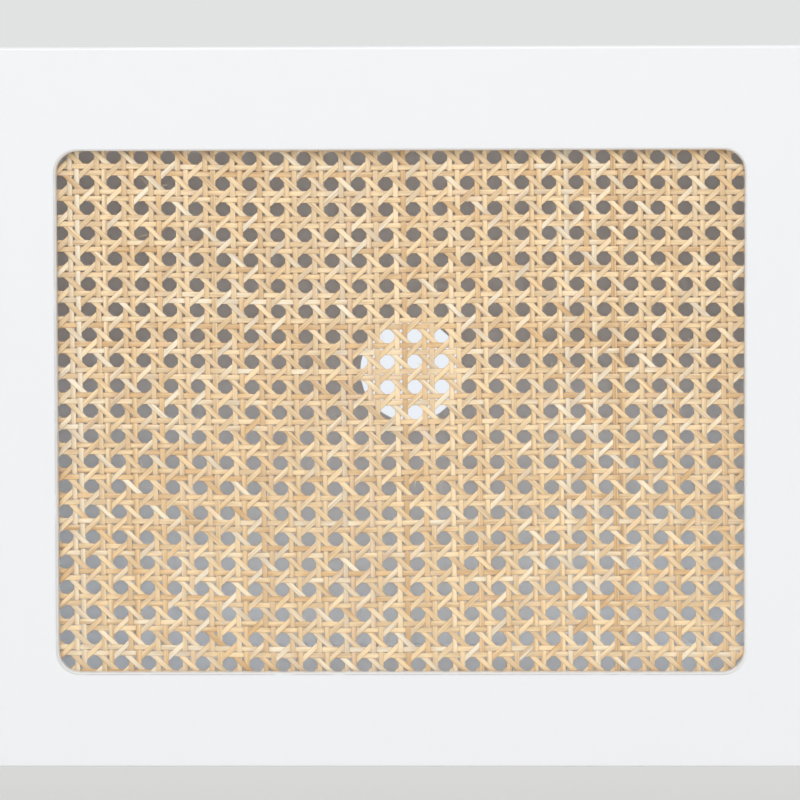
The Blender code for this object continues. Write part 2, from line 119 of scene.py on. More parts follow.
# Play round a hinge cup and at the cane's edge, and how far a cut runs past a door's back
CUP_PLAY, CANE_PLAY, CUT_PAST = 0.0003, 0.0006, 0.002
FOOT_RADIUS = 0.011
LEG_STEPS, LEG_SIDES, GLIDE_SIDES, POCKET_SIDES, FLOOR_SIDES = 13, 64, 48, 48, 96
# A glide's bevel (inward, upward), and the gap between it and the leg
GLIDE_BEVEL, GLIDE_GAP = (0.0008, 0.0006), 0.0001
# Place of the first leg's pith beside its axis, and how it shifts from leg to leg
PITH_ASIDE, PITH_STEPS = 0.031, (0.004, 0.017, 0.35)
SHARP_ANGLE = 35.0
FLOOR_RADIUS, FLOOR_DROP = 5.5, 0.0002
FRAME_PIXELS, SENSOR_WIDTH = 800, 36.0
# Width and height of each light, and the spread of the narrow ones in degrees
KEY_SIZE, BACK_SIZE, LAMP_SIZE, SHINE_SIZE = (3.2, 3.6), (2.4, 1.0), (0.32, 0.24), (0.19, 0.03)
BACK_SPREAD, SHINE_SPREAD = 70.0, 50.0
# Where a compartment's lights are: behind the front, below the back panel's top, and beside the middle
LAMP_DEPTH, SHINE_DEPTH, SHINE_DROP, SHINE_ASIDE = 0.03, 0.04, 0.036, 0.1


def setting(kind, **fixed):
    """A maker of settings of one kind."""

    def make(name, description, default):
        return kind(name=name, description=description, default=default, **fixed)

    return make


length = setting(FloatProperty, unit="LENGTH", precision=4)
watts = setting(FloatProperty, unit="POWER")
bearing = setting(FloatProperty, subtype="ANGLE")
amount = setting(FloatProperty)
share = setting(FloatProperty, min=0.0, max=1.0, subtype="FACTOR")
colour = setting(FloatVectorProperty, size=3, min=0.0, max=1.0, subtype="COLOR")
whole = setting(IntProperty, min=0)


class DoorSettings(bpy.types.PropertyGroup):
    top_rail: length("Top rail", "Height of the frame above the window", 0.0495)
    bottom_rail: length("Bottom rail", "Height of the frame below the window", 0.0456)
    stile: length("Stile", "Width of the frame beside the window", 0.0505)
    window_radius: length("Window corner", "Radius of the window's corners", 0.0105)
    edge_radius: length("Edge radius", "Rounding of the door's front edges", 0.0013)
    back_radius: length("Back edge radius", "Rounding of the back edges, which clear the carcass", 0.003)
    chamfer: length("Chamfer", "Width of the chamfer round the window", 0.0007)
    arris: length("Arris", "Width of the worn line in front of the chamfer", 0.0004)
    rebate_depth: length("Rebate depth", "Depth of the rebate that takes the cane", 0.0115)
    rebate_margin: length("Rebate margin", "How far the rebate runs past the window", 0.006)
    lacquer: colour("Lacquer", "Colour of the sprayed lacquer", (0.873, 0.881, 0.907))
    primer: colour("Primer", "Grey that shows on the window's thin arris", (0.58, 0.58, 0.57))
    foil: colour("Foil", "Colour of the back boards' white foil", (0.85, 0.85, 0.85))
    gloss: share("Lacquer roughness", "Roughness of the lacquer", 0.28)


class CaneSettings(bpy.types.PropertyGroup):
    pitch_across: length("Pitch across", "Distance between holes along a row", 0.01306)
    pitch_up: length("Pitch up", "Distance between rows of holes", 0.0122)
    hole_across: length("Hole offset across", "A hole's place beside the window's middle", -0.0059)
    hole_up: length("Hole offset up", "A hole's place above the window's middle", -0.0001)
    strand_width: length("Strand width", "Width of an upright or level strand", 0.00251)
    slant_width: length("Slant width", "Width of a slanting strand", 0.00246)
    strand_thickness: length("Strand thickness", "Thickness of one cane strand", 0.0006)
    upright_spacing: length("Upright spacing", "Distance between an upright pair's strands", 0.00358)
    level_spacing: length("Level spacing", "Distance between a level pair's strands", 0.00312)
    sway: length("Sway", "How far strands wander from straight lines", 0.0005)
    bow: length("Bow", "How far the rows bow up and down across a panel", 0.0007)
    lean: amount("Lean", "Slope of the uprights to the left", 0.0102)
    straw: colour("Straw", "Usual colour of the cane", (0.982, 0.755, 0.462))
    pale: colour("Pale cane", "Colour of the lightest strands", (0.98, 0.87, 0.67))
    tan: colour("Tan cane", "Colour of the darkest strands", (0.83, 0.55, 0.28))
    # The dull cane colour is a darker, shaded copy of the straw, laid on in random patches as painted shade
    shaded: colour("Dull cane", "Colour of the dull patches", (0.36, 0.20, 0.10))
    rose: colour("Rose cane", "Colour of the few pinkish strands", (0.81, 0.61, 0.47))
    # The cut edge colour is partly the cut cane's own darker colour and partly painted shade of the strands'
    # edges and the slits between them
    edge: colour("Cut edge", "Colour of a strand's cut edges", (0.40, 0.19, 0.07))
    scorch: colour("Scorch", "Colour of the brown streaks", (0.55, 0.30, 0.11))
    fibres: whole("Loose fibres", "Stray fibres on one panel", 40)
    seed: whole("Seed", "Seed of the first panel", 7)


class LegSettings(bpy.types.PropertyGroup):
    glide_height: length("Glide height", "Height of the felt glide under a leg", 0.002)
    ease: length("Ease", "Rounding of a leg's ends", 0.0016)
    light_wood: colour("Light wood", "Colour between the grain lines", (0.66, 0.45, 0.26))
    dark_wood: colour("Dark wood", "Colour of the grain lines", (0.47, 0.28, 0.14))


class FittingSettings(bpy.types.PropertyGroup):
    screw_radius: length("Screw radius", "Radius of a hinge screw's head", 0.0036)
    screw_rise: length("Screw rise", "Height of a hinge screw's head", 0.0011)
    ease: length("Ease", "Rounding of the fittings' edges", 0.0003)
    cam_radius: length("Cam radius", "Radius of a joining cam", 0.0075)
    pin_radius: length("Pin radius", "Radius of a retainer pin's head", 0.0011)
    nickel: colour("Nickel", "Colour of the plated hinges", (0.62, 0.60, 0.57))
    zinc: colour("Zinc", "Colour of the plated steel", (0.52, 0.52, 0.53))
    plastic: colour("Plastic", "Colour of the moulded latches", (0.82, 0.82, 0.80))
    seed: whole("Seed", "Seed of the screws' turns", 3)


class StageSettings(bpy.types.PropertyGroup):
    distance: length("Camera distance", "Distance of the camera from the doors", 1.7)
    camera_height: length("Camera height", "Height of the camera above the floor", 0.4019)
    camera_aside: length("Camera aside", "Distance of the camera right of the middle", 0.028)
    focal_pixels: amount("Focal length", "Lens in pixels of the 800 pixel frame", 3551.0)
    tilt: bearing("Tilt", "Downward tilt", math.radians(2.526))
    roll: bearing("Roll", "Turn about the view", math.radians(0.13))
    floor: colour("Floor", "Colour of the floor", (0.9, 0.895, 0.878))
    horizon: colour("Horizon", "Backdrop level with the stand", (0.84, 0.88, 0.94))
    sky: colour("Upper backdrop", "Backdrop above the stand", (0.755, 0.768, 0.762))
    ambient: amount("Ambient", "Strength of the room's light", 0.35)
    ceiling: amount("Ceiling", "How much brighter the room's ceiling is", 0.48)
    key: watts("Key light", "Power of the front light", 265.0)
    back: watts("Back light", "Power of the light on the floor behind", 0.8)
    inside: watts("Inside lamps", "Power of each compartment's lamp", 0.085)
    shine: watts("Shine", "Power of each light low in a compartment", 0.04)
    daylight: colour("Daylight", "Colour of the light low in a compartment", (0.68, 0.85, 1.0))
    bounce: colour("Bounce", "Colour of the light that comes back off the cane", (1.0, 0.72, 0.5))


class StandSettings(bpy.types.PropertyGroup):
    door: PointerProperty(type=DoorSettings)
    cane: PointerProperty(type=CaneSettings)
    leg: PointerProperty(type=LegSettings)
    fitting: PointerProperty(type=FittingSettings)
    stage: PointerProperty(type=StageSettings)


class Wire:
    """One node socket, so that maths on sockets reads as a plain expression."""

    def __init__(self, tree, socket):
        self.tree = tree
        self.socket = socket

    @classmethod
    def node(cls, tree, kind, settings=None, sockets=None, output=0):
        """Adds a node, sets it up, fills its sockets with values or wires and returns an output."""
        made = tree.nodes.new(kind)
        for key, value in (settings or {}).items():
            if key == "stops":
                ramp = made.color_ramp.elements
                while len(ramp) < len(value):
                    ramp.new(1.0)
                for stop, (place, shade) in zip(ramp, value):
                    stop.position = place
                    stop.color = (*shade, 1.0)
            else:
                setattr(made, key, value)
        for key, value in (sockets or {}).items():
            socket = cls.pick(made.inputs, key)
            if isinstance(value, cls):
                tree.links.new(value.socket, socket)
            else:
                socket.default_value = value
        return cls(tree, cls.pick(made.outputs, output))

    @staticmethod
    def pick(sockets, key):
        if isinstance(key, int):
            return sockets[key]
        return next(socket for socket in sockets if socket.name == key and socket.enabled)

    def other(self, output):
        """Another output of the same node."""
        return Wire(self.tree, self.pick(self.socket.node.outputs, output))

    def into(self, kind, settings=None, sockets=None, output=0):
        """A node whose first socket takes this wire."""
        return Wire.node(self.tree, kind, settings, {0: self, **(sockets or {})}, output)

    def maths(self, operation, *values):
        return Wire.node(self.tree, "ShaderNodeMath", {"operation": operation}, dict(enumerate(values)))

    def __add__(self, value):
        return self.maths("ADD", self, value)

    def __radd__(self, value):
        return self.maths("ADD", value, self)

    def __sub__(self, value):
        return self.maths("SUBTRACT", self, value)

    def __rsub__(self, value):
        return self.maths("SUBTRACT", value, self)

    def __mul__(self, value):
        return self.maths("MULTIPLY", self, value)

    def __rmul__(self, value):
        return self.maths("MULTIPLY", value, self)

    def __truediv__(self, value):
        return self.maths("DIVIDE", self, value)

    def __rtruediv__(self, value):
        return self.maths("DIVIDE", value, self)

    def one(self, operation):
        """A function of this value alone."""
        return self.maths(operation, self)

    def signed_power(self, power):
        """The value's size to a power, with its sign kept."""
        size = self.one("ABSOLUTE")
        return self.one("SIGN") * size.maths("POWER", size, power)

    def between(self, low, high):
        """0 below low, 1 above high, and smooth between."""
        return self.into("ShaderNodeMapRange", {"interpolation_type": "SMOOTHSTEP"}, {1: low, 2: high})

    def compared(self, operation, limit):
        settings = {"data_type": "FLOAT", "operation": operation}
        return self.into("FunctionNodeCompare", settings, {1: limit})

    def parts(self):
        first = self.into("ShaderNodeSeparateXYZ")
        return first, first.other(1), first.other(2)


def vector(tree, x, y, z):
    return Wire.node(tree, "ShaderNodeCombineXYZ", None, {0: x, 1: y, 2: z})


def mixed(tree, factor, first, second):
    """A colour between two colours."""
    sockets = {0: factor, 6: opaque(first), 7: opaque(second)}
    return Wire.node(tree, "ShaderNodeMix", {"data_type": "RGBA", "clamp_factor": True}, sockets, 2)


def dimmed(shade, factor):
    return tuple(value * factor for value in shade)


def opaque(shade):
    return shade if isinstance(shade, Wire) else (*shade, 1.0)


def noise(tree, place, scale, detail=2.0, roughness=0.5):
    sockets = {"Vector": place, "Scale": scale, "Detail": detail, "Roughness": roughness}
    return Wire.node(tree, "ShaderNodeTexNoise", None, sockets)


def object_place(tree):
    return Wire.node(tree, "ShaderNodeTexCoord", None, None, "Object")


def attribute(tree, name, output=2):
    return Wire.node(tree, "ShaderNodeAttribute", {"attribute_name": name}, None, output)


def stretched(tree, place, scale):
    """Places scaled by three factors, so that a pattern runs longer one way."""
    return Wire.node(tree, "ShaderNodeVectorMath", {"operation": "MULTIPLY"}, {0: place, 1: scale})


def finish(name, constants):
    """A new material's tree, with constants straight on its shader's sockets."""
    material = bpy.data.materials.new(name)
    material.use_nodes = True
    shader = material.node_tree.nodes["Principled BSDF"]
    for key, value in constants.items():
        shader.inputs[key].default_value = value
    return material.node_tree


def vary(tree, shade, roughness, height, depth, strength):
    """Feeds what changes over a surface to its shader. A height from 0 to 1 stands for this depth."""
    relief = {"Strength": strength, "Distance": depth, "Height": height}
    normal = Wire.node(tree, "ShaderNodeBump", None, relief)
    shader = tree.nodes["Principled BSDF"]
    for key, wire in (("Base Color", shade), ("Roughness", roughness), ("Normal", normal)):
        tree.links.new(wire.socket, shader.inputs[key])


def lacquer_finish(door):
    """Sprayed satin lacquer: a faint orange peel, and primer that shows on the window's thin arris."""
    tree = finish("sprayed_lacquer", {"IOR": 1.5, "Coat Weight": 0.12, "Coat Roughness": 0.2})
    place = object_place(tree)
    shade = mixed(tree, noise(tree, place, 5.0) * 0.5, door.lacquer, dimmed(door.lacquer, 0.985))
    worn = attribute(tree, "arris") * noise(tree, place, 60.0, 3.0).between(0.25, 0.5)
    shade = mixed(tree, worn * 0.8, shade, door.primer)
    roughness = noise(tree, place, 4.0, 1.0) * 0.03 + door.gloss
    vary(tree, shade, roughness, noise(tree, place, 150.0, 1.0), 0.00002, 0.4)


def foil_finish(door):
    """White foil on thin board: fine embossed pores that run across the board."""
    tree = finish("white_foil", {"IOR": 1.48})
    place = object_place(tree)
    pores = noise(tree, stretched(tree, place, (60.0, 900.0, 900.0)), 1.0, 3.0, 0.6)
    shade = mixed(tree, noise(tree, place, 9.0) * 0.6, door.foil, dimmed(door.foil, 0.97))
    vary(tree, shade, pores * 0.14 + 0.5, pores, 0.00004, 0.6)


def cane_finish(cane):
    """Split cane: each strand has its own tone, with long fibres, brown streaks, random patches of painted
    shade, and cut edges darkened partly by their own colour and partly by painted shade.
    """
    tree = finish("natural_cane", {"IOR": 1.5, "Coat Weight": 0.1, "Coat Roughness": 0.3})
    tone, along = attribute(tree, "strand"), attribute(tree, "along")
    across, skin = attribute(tree, "across"), attribute(tree, "skin")

    def grain(run, aside, depth, detail, roughness=0.5):
        return noise(tree, vector(tree, along * run, aside, depth), 1.0, detail, roughness)

    slow = grain(18.0, tone * 90.0, 0.0, 2.0)
    # The floats noise gives each float between crossings its own brightness: partly painted light and shade
    # for floats that tilt towards or away from the light
    floats = grain(95.0, tone * 60.0, 3.0, 1.0)
    fibre = grain(70.0, across * 3.2 + tone * 70.0, skin * 1.5, 3.0, 0.6)
    streak = grain(16.0, across * 0.7, tone * 45.0, 1.0)
    blush = grain(40.0, tone * 75.0, 9.0, 1.0)
    # Random patches of painted shade: a darker copy of the cane stands in for strands that dip into shadow
    painted_shade = grain(55.0, tone * 85.0, across * 0.4 + 5.0, 2.0)
    level = tone * 0.62 + (slow - 0.5) * 1.1 + (floats - 0.5) * 0.9 + (fibre - 0.5) * 0.8 + 0.17
    stops = [(0.1, cane.tan), (0.42, cane.straw), (0.6, cane.straw), (0.9, cane.pale)]
    shade = Wire.node(tree, "ShaderNodeValToRGB", {"stops": stops}, {0: level})
    shade = mixed(tree, blush.between(0.6, 0.72) * 0.45, shade, cane.rose)
    shade = mixed(tree, streak.between(0.6, 0.74) * 0.5, shade, cane.scorch)
    shade = mixed(tree, painted_shade.between(0.36, 0.66) * 0.37, shade, cane.shaded)
    # Painted shade on the strands' sides, partly their own darker cut colour: dark brown towards each
    # strand's edges, which also darkens the slits
    shade = mixed(tree, across.one("ABSOLUTE").between(0.82, 0.98) * 0.45, shade, cane.edge)
    vary(tree, shade, fibre * 0.2 + 0.42, fibre, 0.00008, 0.8)


def wood_finish(leg):
    """Oiled straight-grained wood: growth rings round a pith beside the leg, and short dark pores."""
    tree = finish("oiled_wood", {"IOR": 1.48, "Coat Weight": 0.08, "Coat Roughness": 0.35})
    grain = attribute(tree, "grain", 1)
    x, y, _ = grain.parts()
    drift = noise(tree, stretched(tree, grain, (30.0, 30.0, 5.0)), 1.0)
    from_pith = (x * x + y * y).one("SQRT") + (drift - 0.5) * 0.012
    ring = ((from_pith * 330.0) * FULL_TURN).one("SINE") * 0.5 + 0.5
    fleck = noise(tree, stretched(tree, grain, (1400.0, 1400.0, 70.0)), 1.0, 2.0, 0.6)
    pores = fleck.between(0.56, 0.7)
    shade = mixed(tree, ring * ring * 0.6 + drift * 0.2, leg.light_wood, leg.dark_wood)
    shade = mixed(tree, pores * 0.45, shade, dimmed(leg.dark_wood, 0.6))
    vary(tree, shade, pores * 0.15 + 0.42, 1.0 - pores, 0.00008, 0.6)


def plated_finish(name, shade, roughness):
    """Plated metal: faint drawn lines and a little tarnish."""
    tree = finish(name, {"Metallic": 1.0})
    place = object_place(tree)
    drawn = noise(tree, stretched(tree, place, (900.0, 140.0, 900.0)), 1.0)
    tarnish = noise(tree, place, 90.0, 3.0).between(0.5, 0.8) * 0.25
    shade = mixed(tree, tarnish, shade, dimmed(shade, 0.75))
    vary(tree, shade, drawn * 0.05 + roughness, drawn, 0.000005, 0.4)


def plastic_finish(shade):
    """Moulded plastic with a fine spark texture."""
    tree = finish("moulded_plastic", {"IOR": 1.46})
    place = object_place(tree)
    spark = noise(tree, place, 2600.0)
    shade = mixed(tree, noise(tree, place, 60.0) * 0.5, shade, dimmed(shade, 0.94))
    vary(tree, shade, spark * 0.2 + 0.4, spark, 0.00002, 0.6)


def felt_finish():
    """Grey pressed felt under the legs."""
    tree = finish("felt", {"Sheen Weight": 0.3})
    fuzz = noise(tree, object_place(tree), 1800.0, 4.0, 0.7)
    shade = mixed(tree, fuzz, (0.16, 0.16, 0.15), (0.30, 0.29, 0.28))
    vary(tree, shade, fuzz * 0.1 + 0.88, fuzz, 0.0002, 0.8)


def dress(nodes, material):
    """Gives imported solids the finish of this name."""
    for node in nodes:
        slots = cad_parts[node].data.materials
        slots.clear()
        slots.append(bpy.data.materials[material])


def linked(name, data):
    """A new object in the scene."""
    obj = bpy.data.objects.new(name, data)
    bpy.context.scene.collection.objects.link(obj)
    return obj


def piece(mesh, body, material=None):
    """Puts a finished mesh in the scene as a piece of the stand, with its mesh's name."""
    obj = linked(mesh.name, mesh)
    if material:
        mesh.materials.clear()
        mesh.materials.append(bpy.data.materials[material])
    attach(obj, body)
    return obj


def eased(nodes, body, material, width):
    """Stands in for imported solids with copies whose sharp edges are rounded, to catch the light."""
    for node in nodes:
        bm = bmesh.new()
        bm.from_mesh(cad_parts[node].data)
        bmesh.ops.remove_doubles(bm, verts=bm.verts, dist=1e-6)
        bmesh.ops.dissolve_limit(bm, angle_limit=math.radians(1), verts=bm.verts, edges=bm.edges)
        limit = math.radians(SHARP_ANGLE)
        sharp = [edge for edge in bm.edges if edge.is_manifold and edge.calc_face_angle() > limit]
        bmesh.ops.bevel(
            bm, geom=sharp, offset=width, segments=2, profile=0.5, affect="EDGES", clamp_overlap=True
        )
        mesh = bpy.data.meshes.new(node + "_eased")
        bm.to_mesh(mesh)
        bm.free()
        made = piece(settled(mesh), body, material)
        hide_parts(node)


def settled(mesh, angle=SHARP_ANGLE):
    """Smooth shading that breaks at sharp edges."""
    mesh.shade_smooth()
    mesh.set_sharp_from_angle(angle=math.radians(angle))
    return mesh


def outline(width, height, radius, steps):
    """Points of a rectangle with round corners, anticlockwise from the lower right, about its middle."""
    points = []
    for corner, (side, level) in enumerate(((1, -1), (1, 1), (-1, 1), (-1, -1))):
        centre_x = side * (width / 2 - radius)
        centre_z = level * (height / 2 - radius)
        for step in range(steps + 1):
            angle = math.radians(90 * (corner - 1 + step / steps))
            points.append((centre_x + radius * math.cos(angle), centre_z + radius * math.sin(angle)))
    return points


def loops_mesh(name, loops, closed=False, capped=False):
    """A mesh through loops of points with equal counts. Outward faces follow from a recalculation."""
    bm = bmesh.new()
    rows = [[bm.verts.new(point) for point in loop] for loop in loops]
    count = len(rows[0])
    pairs = list(zip(rows, rows[1:] + rows[:1])) if closed else list(zip(rows, rows[1:]))
    for row, following in pairs:
        for index in range(count):
            after = (index + 1) % count
            bm.faces.new((row[index], row[after], following[after], following[index]))
    if capped:
        bm.faces.new(rows[0])
        bm.faces.new(rows[-1])
    bmesh.ops.recalc_face_normals(bm, faces=bm.faces)
    mesh = bpy.data.meshes.new(name)
    bm.to_mesh(mesh)
    bm.free()
    return mesh


def circle_points(steps):
    """Points round a circle of unit radius."""
    turns = [FULL_TURN * step / steps for step in range(steps)]
    return [(math.cos(turn), math.sin(turn)) for turn in turns]


def quarter_round(radius, steps):
    """How far a rounded edge stands back from each of its two faces, from one face to the other."""
    turns = [math.pi / 2 * step / steps for step in range(steps + 1)]
    return [(radius * (1 - math.sin(turn)), radius * (1 - math.cos(turn))) for turn in turns]


def turned_mesh(name, profile, x, y, steps):
    """A solid of revolution about an upright line at x and y, from (radius, height) points."""
    circle = circle_points(steps)
    loops = [[(x + radius * u, y + radius * v, height) for u, v in circle] for radius, height in profile]
    return loops_mesh(name, loops, capped=True)


def pulled(items, key, kind, width=1):
    """One property of every item, as an array."""
    values = np.empty(len(items) * width, kind)
    items.foreach_get(key, values)
    return values


def middle(node):
    """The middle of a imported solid's box."""
    low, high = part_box(node)
    return [(start + end) / 2 for start, end in zip(low, high)]


def face_of(node, side):
    """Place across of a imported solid's right face, or of its left one where side is -1."""
    low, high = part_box(node)
    return high.x if side > 0 else low.x


def evaluated_mesh(obj, name):
    """The plain mesh that an object's modifiers give."""
    depsgraph = bpy.context.evaluated_depsgraph_get()
    mesh = bpy.data.meshes.new_from_object(
        obj.evaluated_get(depsgraph), preserve_all_data_layers=True, depsgraph=depsgraph
    )
    mesh.name = name
    return mesh


def grown_mesh(name, tree, inputs, start=None):
    """The plain mesh that a geometry tree grows from these named inputs."""
    obj = linked(name + "_start", start or bpy.data.meshes.new(name + "_start"))
    modifier = obj.modifiers.new(tree.name, "NODES")
    modifier.node_group = tree
    for item in tree.interface.items_tree:
        if item.in_out == "INPUT" and item.name in inputs:
            modifier[item.identifier] = inputs[item.name]
    mesh = evaluated_mesh(obj, name)
    obj.modifiers.remove(modifier)
    bpy.data.objects.remove(obj)
    return mesh


def cut_holes(mesh, cutters):
    """A mesh less the meshes of some cutters."""
    body = linked(mesh.name, mesh)
    tools = [linked(cutter.name, cutter) for cutter in cutters]
    for tool in tools:
        modifier = body.modifiers.new(tool.name, "BOOLEAN")
        modifier.operation = "DIFFERENCE"
        modifier.solver = "EXACT"
        modifier.object = tool
    result = evaluated_mesh(body, mesh.name)
    for obj in (body, *tools):
        bpy.data.objects.remove(obj)
    return result


def window_of(door_name, door):
    """The window's middle (x, z), width and height."""
    low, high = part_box(door_name + "_frame")
    width = high.x - low.x - 2 * door.stile
    bottom, top = low.z + door.bottom_rail, high.z - door.top_rail
    return ((low.x + high.x) / 2, (bottom + top) / 2), width, top - bottom


def door_frame_mesh(door_name, door):
    """A door frame: round outer edges, a window with its arris, the cane's rebate and the hinge pockets."""
    low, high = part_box(door_name + "_frame")
    centre, width, height = window_of(door_name, door)
    middle_x, _, middle_z = middle(door_name + "_frame")
    fine, hold = 0.0001, 0.0004
    corner = door.edge_radius + hold
    corner_steps = 10
    ways = [way / corner_steps for way in range(corner_steps + 1)]
    # The lower and left edges of a window wear most
    rubbed = [1.0 - 0.9 * way for way in ways] + [0.1] * len(ways)
    rubbed += [0.1 + 0.7 * way for way in ways] + [0.8 + 0.2 * way for way in ways]
    loops, worn = [], []

    def window_loop(grow, y, radius=None, wear=0.0):
        radius = door.window_radius + grow if radius is None else radius
        points = outline(width + 2 * grow, height + 2 * grow, radius, corner_steps)
        loops.append([(centre[0] + x, y, centre[1] + z) for x, z in points])
        worn.extend(wear * rub for rub in rubbed)

    def edge_loop(inset, y):
        radius = max(corner - inset, 2 * fine)
        points = outline(high.x - low.x - 2 * inset, high.z - low.z - 2 * inset, radius, corner_steps)
        loops.append([(middle_x + x, y, middle_z + z) for x, z in points])
        worn.extend([0.0] * len(points))

    rebate_y = high.y - door.rebate_depth
    front, back, arris, edge = low.y, high.y, door.arris, door.edge_radius
    window_loop(0.0, rebate_y)
    window_loop(0.0, front + door.chamfer + fine)
    window_loop(fine, front + door.chamfer - fine)
    window_loop(door.chamfer - 2 * fine, front + 2 * fine)
    window_loop(door.chamfer - fine, front + fine, wear=1.0)
    window_loop(door.chamfer, front, wear=1.0)
    window_loop(door.chamfer + arris, front, wear=1.0)
    window_loop(door.chamfer + arris + 2 * fine, front)
    edge_loop(edge + hold, front)
    for inset, depth in quarter_round(edge, 6):
        edge_loop(inset, front + depth)
    edge_loop(0.0, front + edge + hold)
    edge = door.back_radius
    edge_loop(0.0, back - edge - hold)
    for depth, inset in quarter_round(edge, 6):
        edge_loop(inset, back - depth)
    edge_loop(edge + hold, back)
    window_loop(door.rebate_margin, back, 3 * fine)
    window_loop(door.rebate_margin, rebate_y, 3 * fine)
    mesh = loops_mesh(door_name + "_lacquered_frame", loops, closed=True)
    wear = mesh.attributes.new("arris", "FLOAT", "POINT")
    wear.data.foreach_set("value", worn)
    cutters = []
    for level in ("upper", "lower"):
        cup = f"{door_name}_{level}_hinge_cup"
        cup_low, cup_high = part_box(cup)
        x, _, z = middle(cup)
        radius = (cup_high.x - cup_low.x) / 2 + CUP_PLAY
        ends = (cup_low.y - CUP_PLAY, back + CUT_PAST)
        circle = circle_points(POCKET_SIDES)
        loops = [[(x + radius * u, y, z + radius * v) for u, v in circle] for y in ends]
        cutters.append(loops_mesh(f"{door_name}_{level}_pocket", loops, capped=True))
    return settled(cut_holes(mesh, cutters))


CANE_SIZES = (
    "Pitch Across",
    "Pitch Up",
    "Strand Thickness",
    "Upright Spacing",
    "Level Spacing",
    "Sway",
    "Bow",
    "Lean",
)
WEAVE_SIZES = (*CANE_SIZES, "Width", "Height", "First Upright", "First Level", "Strand Width", "Bow Start")


def new_tree(name, inputs):
    """A geometry tree with its inputs, given as labels and kinds, and the wires from them."""
    tree = bpy.data.node_groups.new(name, "GeometryNodeTree")
    for label, kind in {"Geometry": "Geometry", **inputs}.items():
        tree.interface.new_socket(label, in_out="INPUT", socket_type="NodeSocket" + kind)
    tree.interface.new_socket("Geometry", in_out="OUTPUT", socket_type="NodeSocketGeometry")
    entry = tree.nodes.new("NodeGroupInput")
    return tree, {socket.name: Wire(tree, socket) for socket in entry.outputs if socket.name}


def close_tree(geometry, material):
    """Ends a tree: real geometry with its material."""
    real = geometry.into("GeometryNodeRealizeInstances")
    done = real.into("GeometryNodeSetMaterial", None, {"Material": material})
    exit_node = geometry.tree.nodes.new("NodeGroupOutput")
    geometry.tree.links.new(done.socket, exit_node.inputs[0])


def stored(geometry, name, value):
    settings = {"data_type": "FLOAT", "domain": "POINT"}
    return geometry.into("GeometryNodeStoreNamedAttribute", settings, {"Name": name, "Value": value})


def placed(geometry, x, y, z):
    return geometry.into("GeometryNodeSetPosition", None, {"Position": vector(geometry.tree, x, y, z)})


def round_profile(tree, sides, radius):
    """A round section that knows how far round it each point is."""
    sizes = {"Resolution": sides, "Radius": radius}
    circle = Wire.node(tree, "GeometryNodeCurvePrimitiveCircle", {"mode": "RADIUS"}, sizes)
    return stored(circle, "around", Wire.node(tree, "GeometryNodeSplineParameter"))


def strand_profile(tree, width, thickness):
    """A strand's section: a flat strip with eased edges."""
    x, y, _ = Wire.node(tree, "GeometryNodeInputPosition").parts()
    broad = x.signed_power(0.3)
    circle = stored(round_profile(tree, STRAND_SIDES, 1.0), "across", broad)
    circle = stored(circle, "skin", y)
    return placed(circle, broad * width * 0.5, y.signed_power(0.6) * thickness * 0.5, 0.0)


def random_value(tree, low, high, number, seed):
    sockets = {2: low, 3: high, 7: number, 8: seed}
    return Wire.node(tree, "FunctionNodeRandomValue", {"data_type": "FLOAT"}, sockets, 1)


def copied_lines(tree, begin, end, points, copies):
    """Copies of one straight curve, with each copy's number and each point's place along it."""
    ends = {"Start": vector(tree, begin, 0.0, 0.0), "End": vector(tree, end, 0.0, 0.0)}
    line = Wire.node(tree, "GeometryNodeCurvePrimitiveLine", {"mode": "POINTS"}, ends)
    line = line.into("GeometryNodeResampleCurve", {"mode": "COUNT"}, {"Count": points})
    line = line.into("GeometryNodeDuplicateElements", {"domain": "SPLINE"}, {"Amount": copies})
    travel, _, _ = Wire.node(tree, "GeometryNodeInputPosition").parts()
    return line, line.other(1), travel


def crossing_height(phase):
    """Height of a strand as it passes over one strand of a pair and under the other, from -1 to 1."""
    near = ((phase + 0.5).one("FRACT") - 0.5) / CROSSING
    return near * (0.5 - near * near * 0.5).one("EXPONENT")


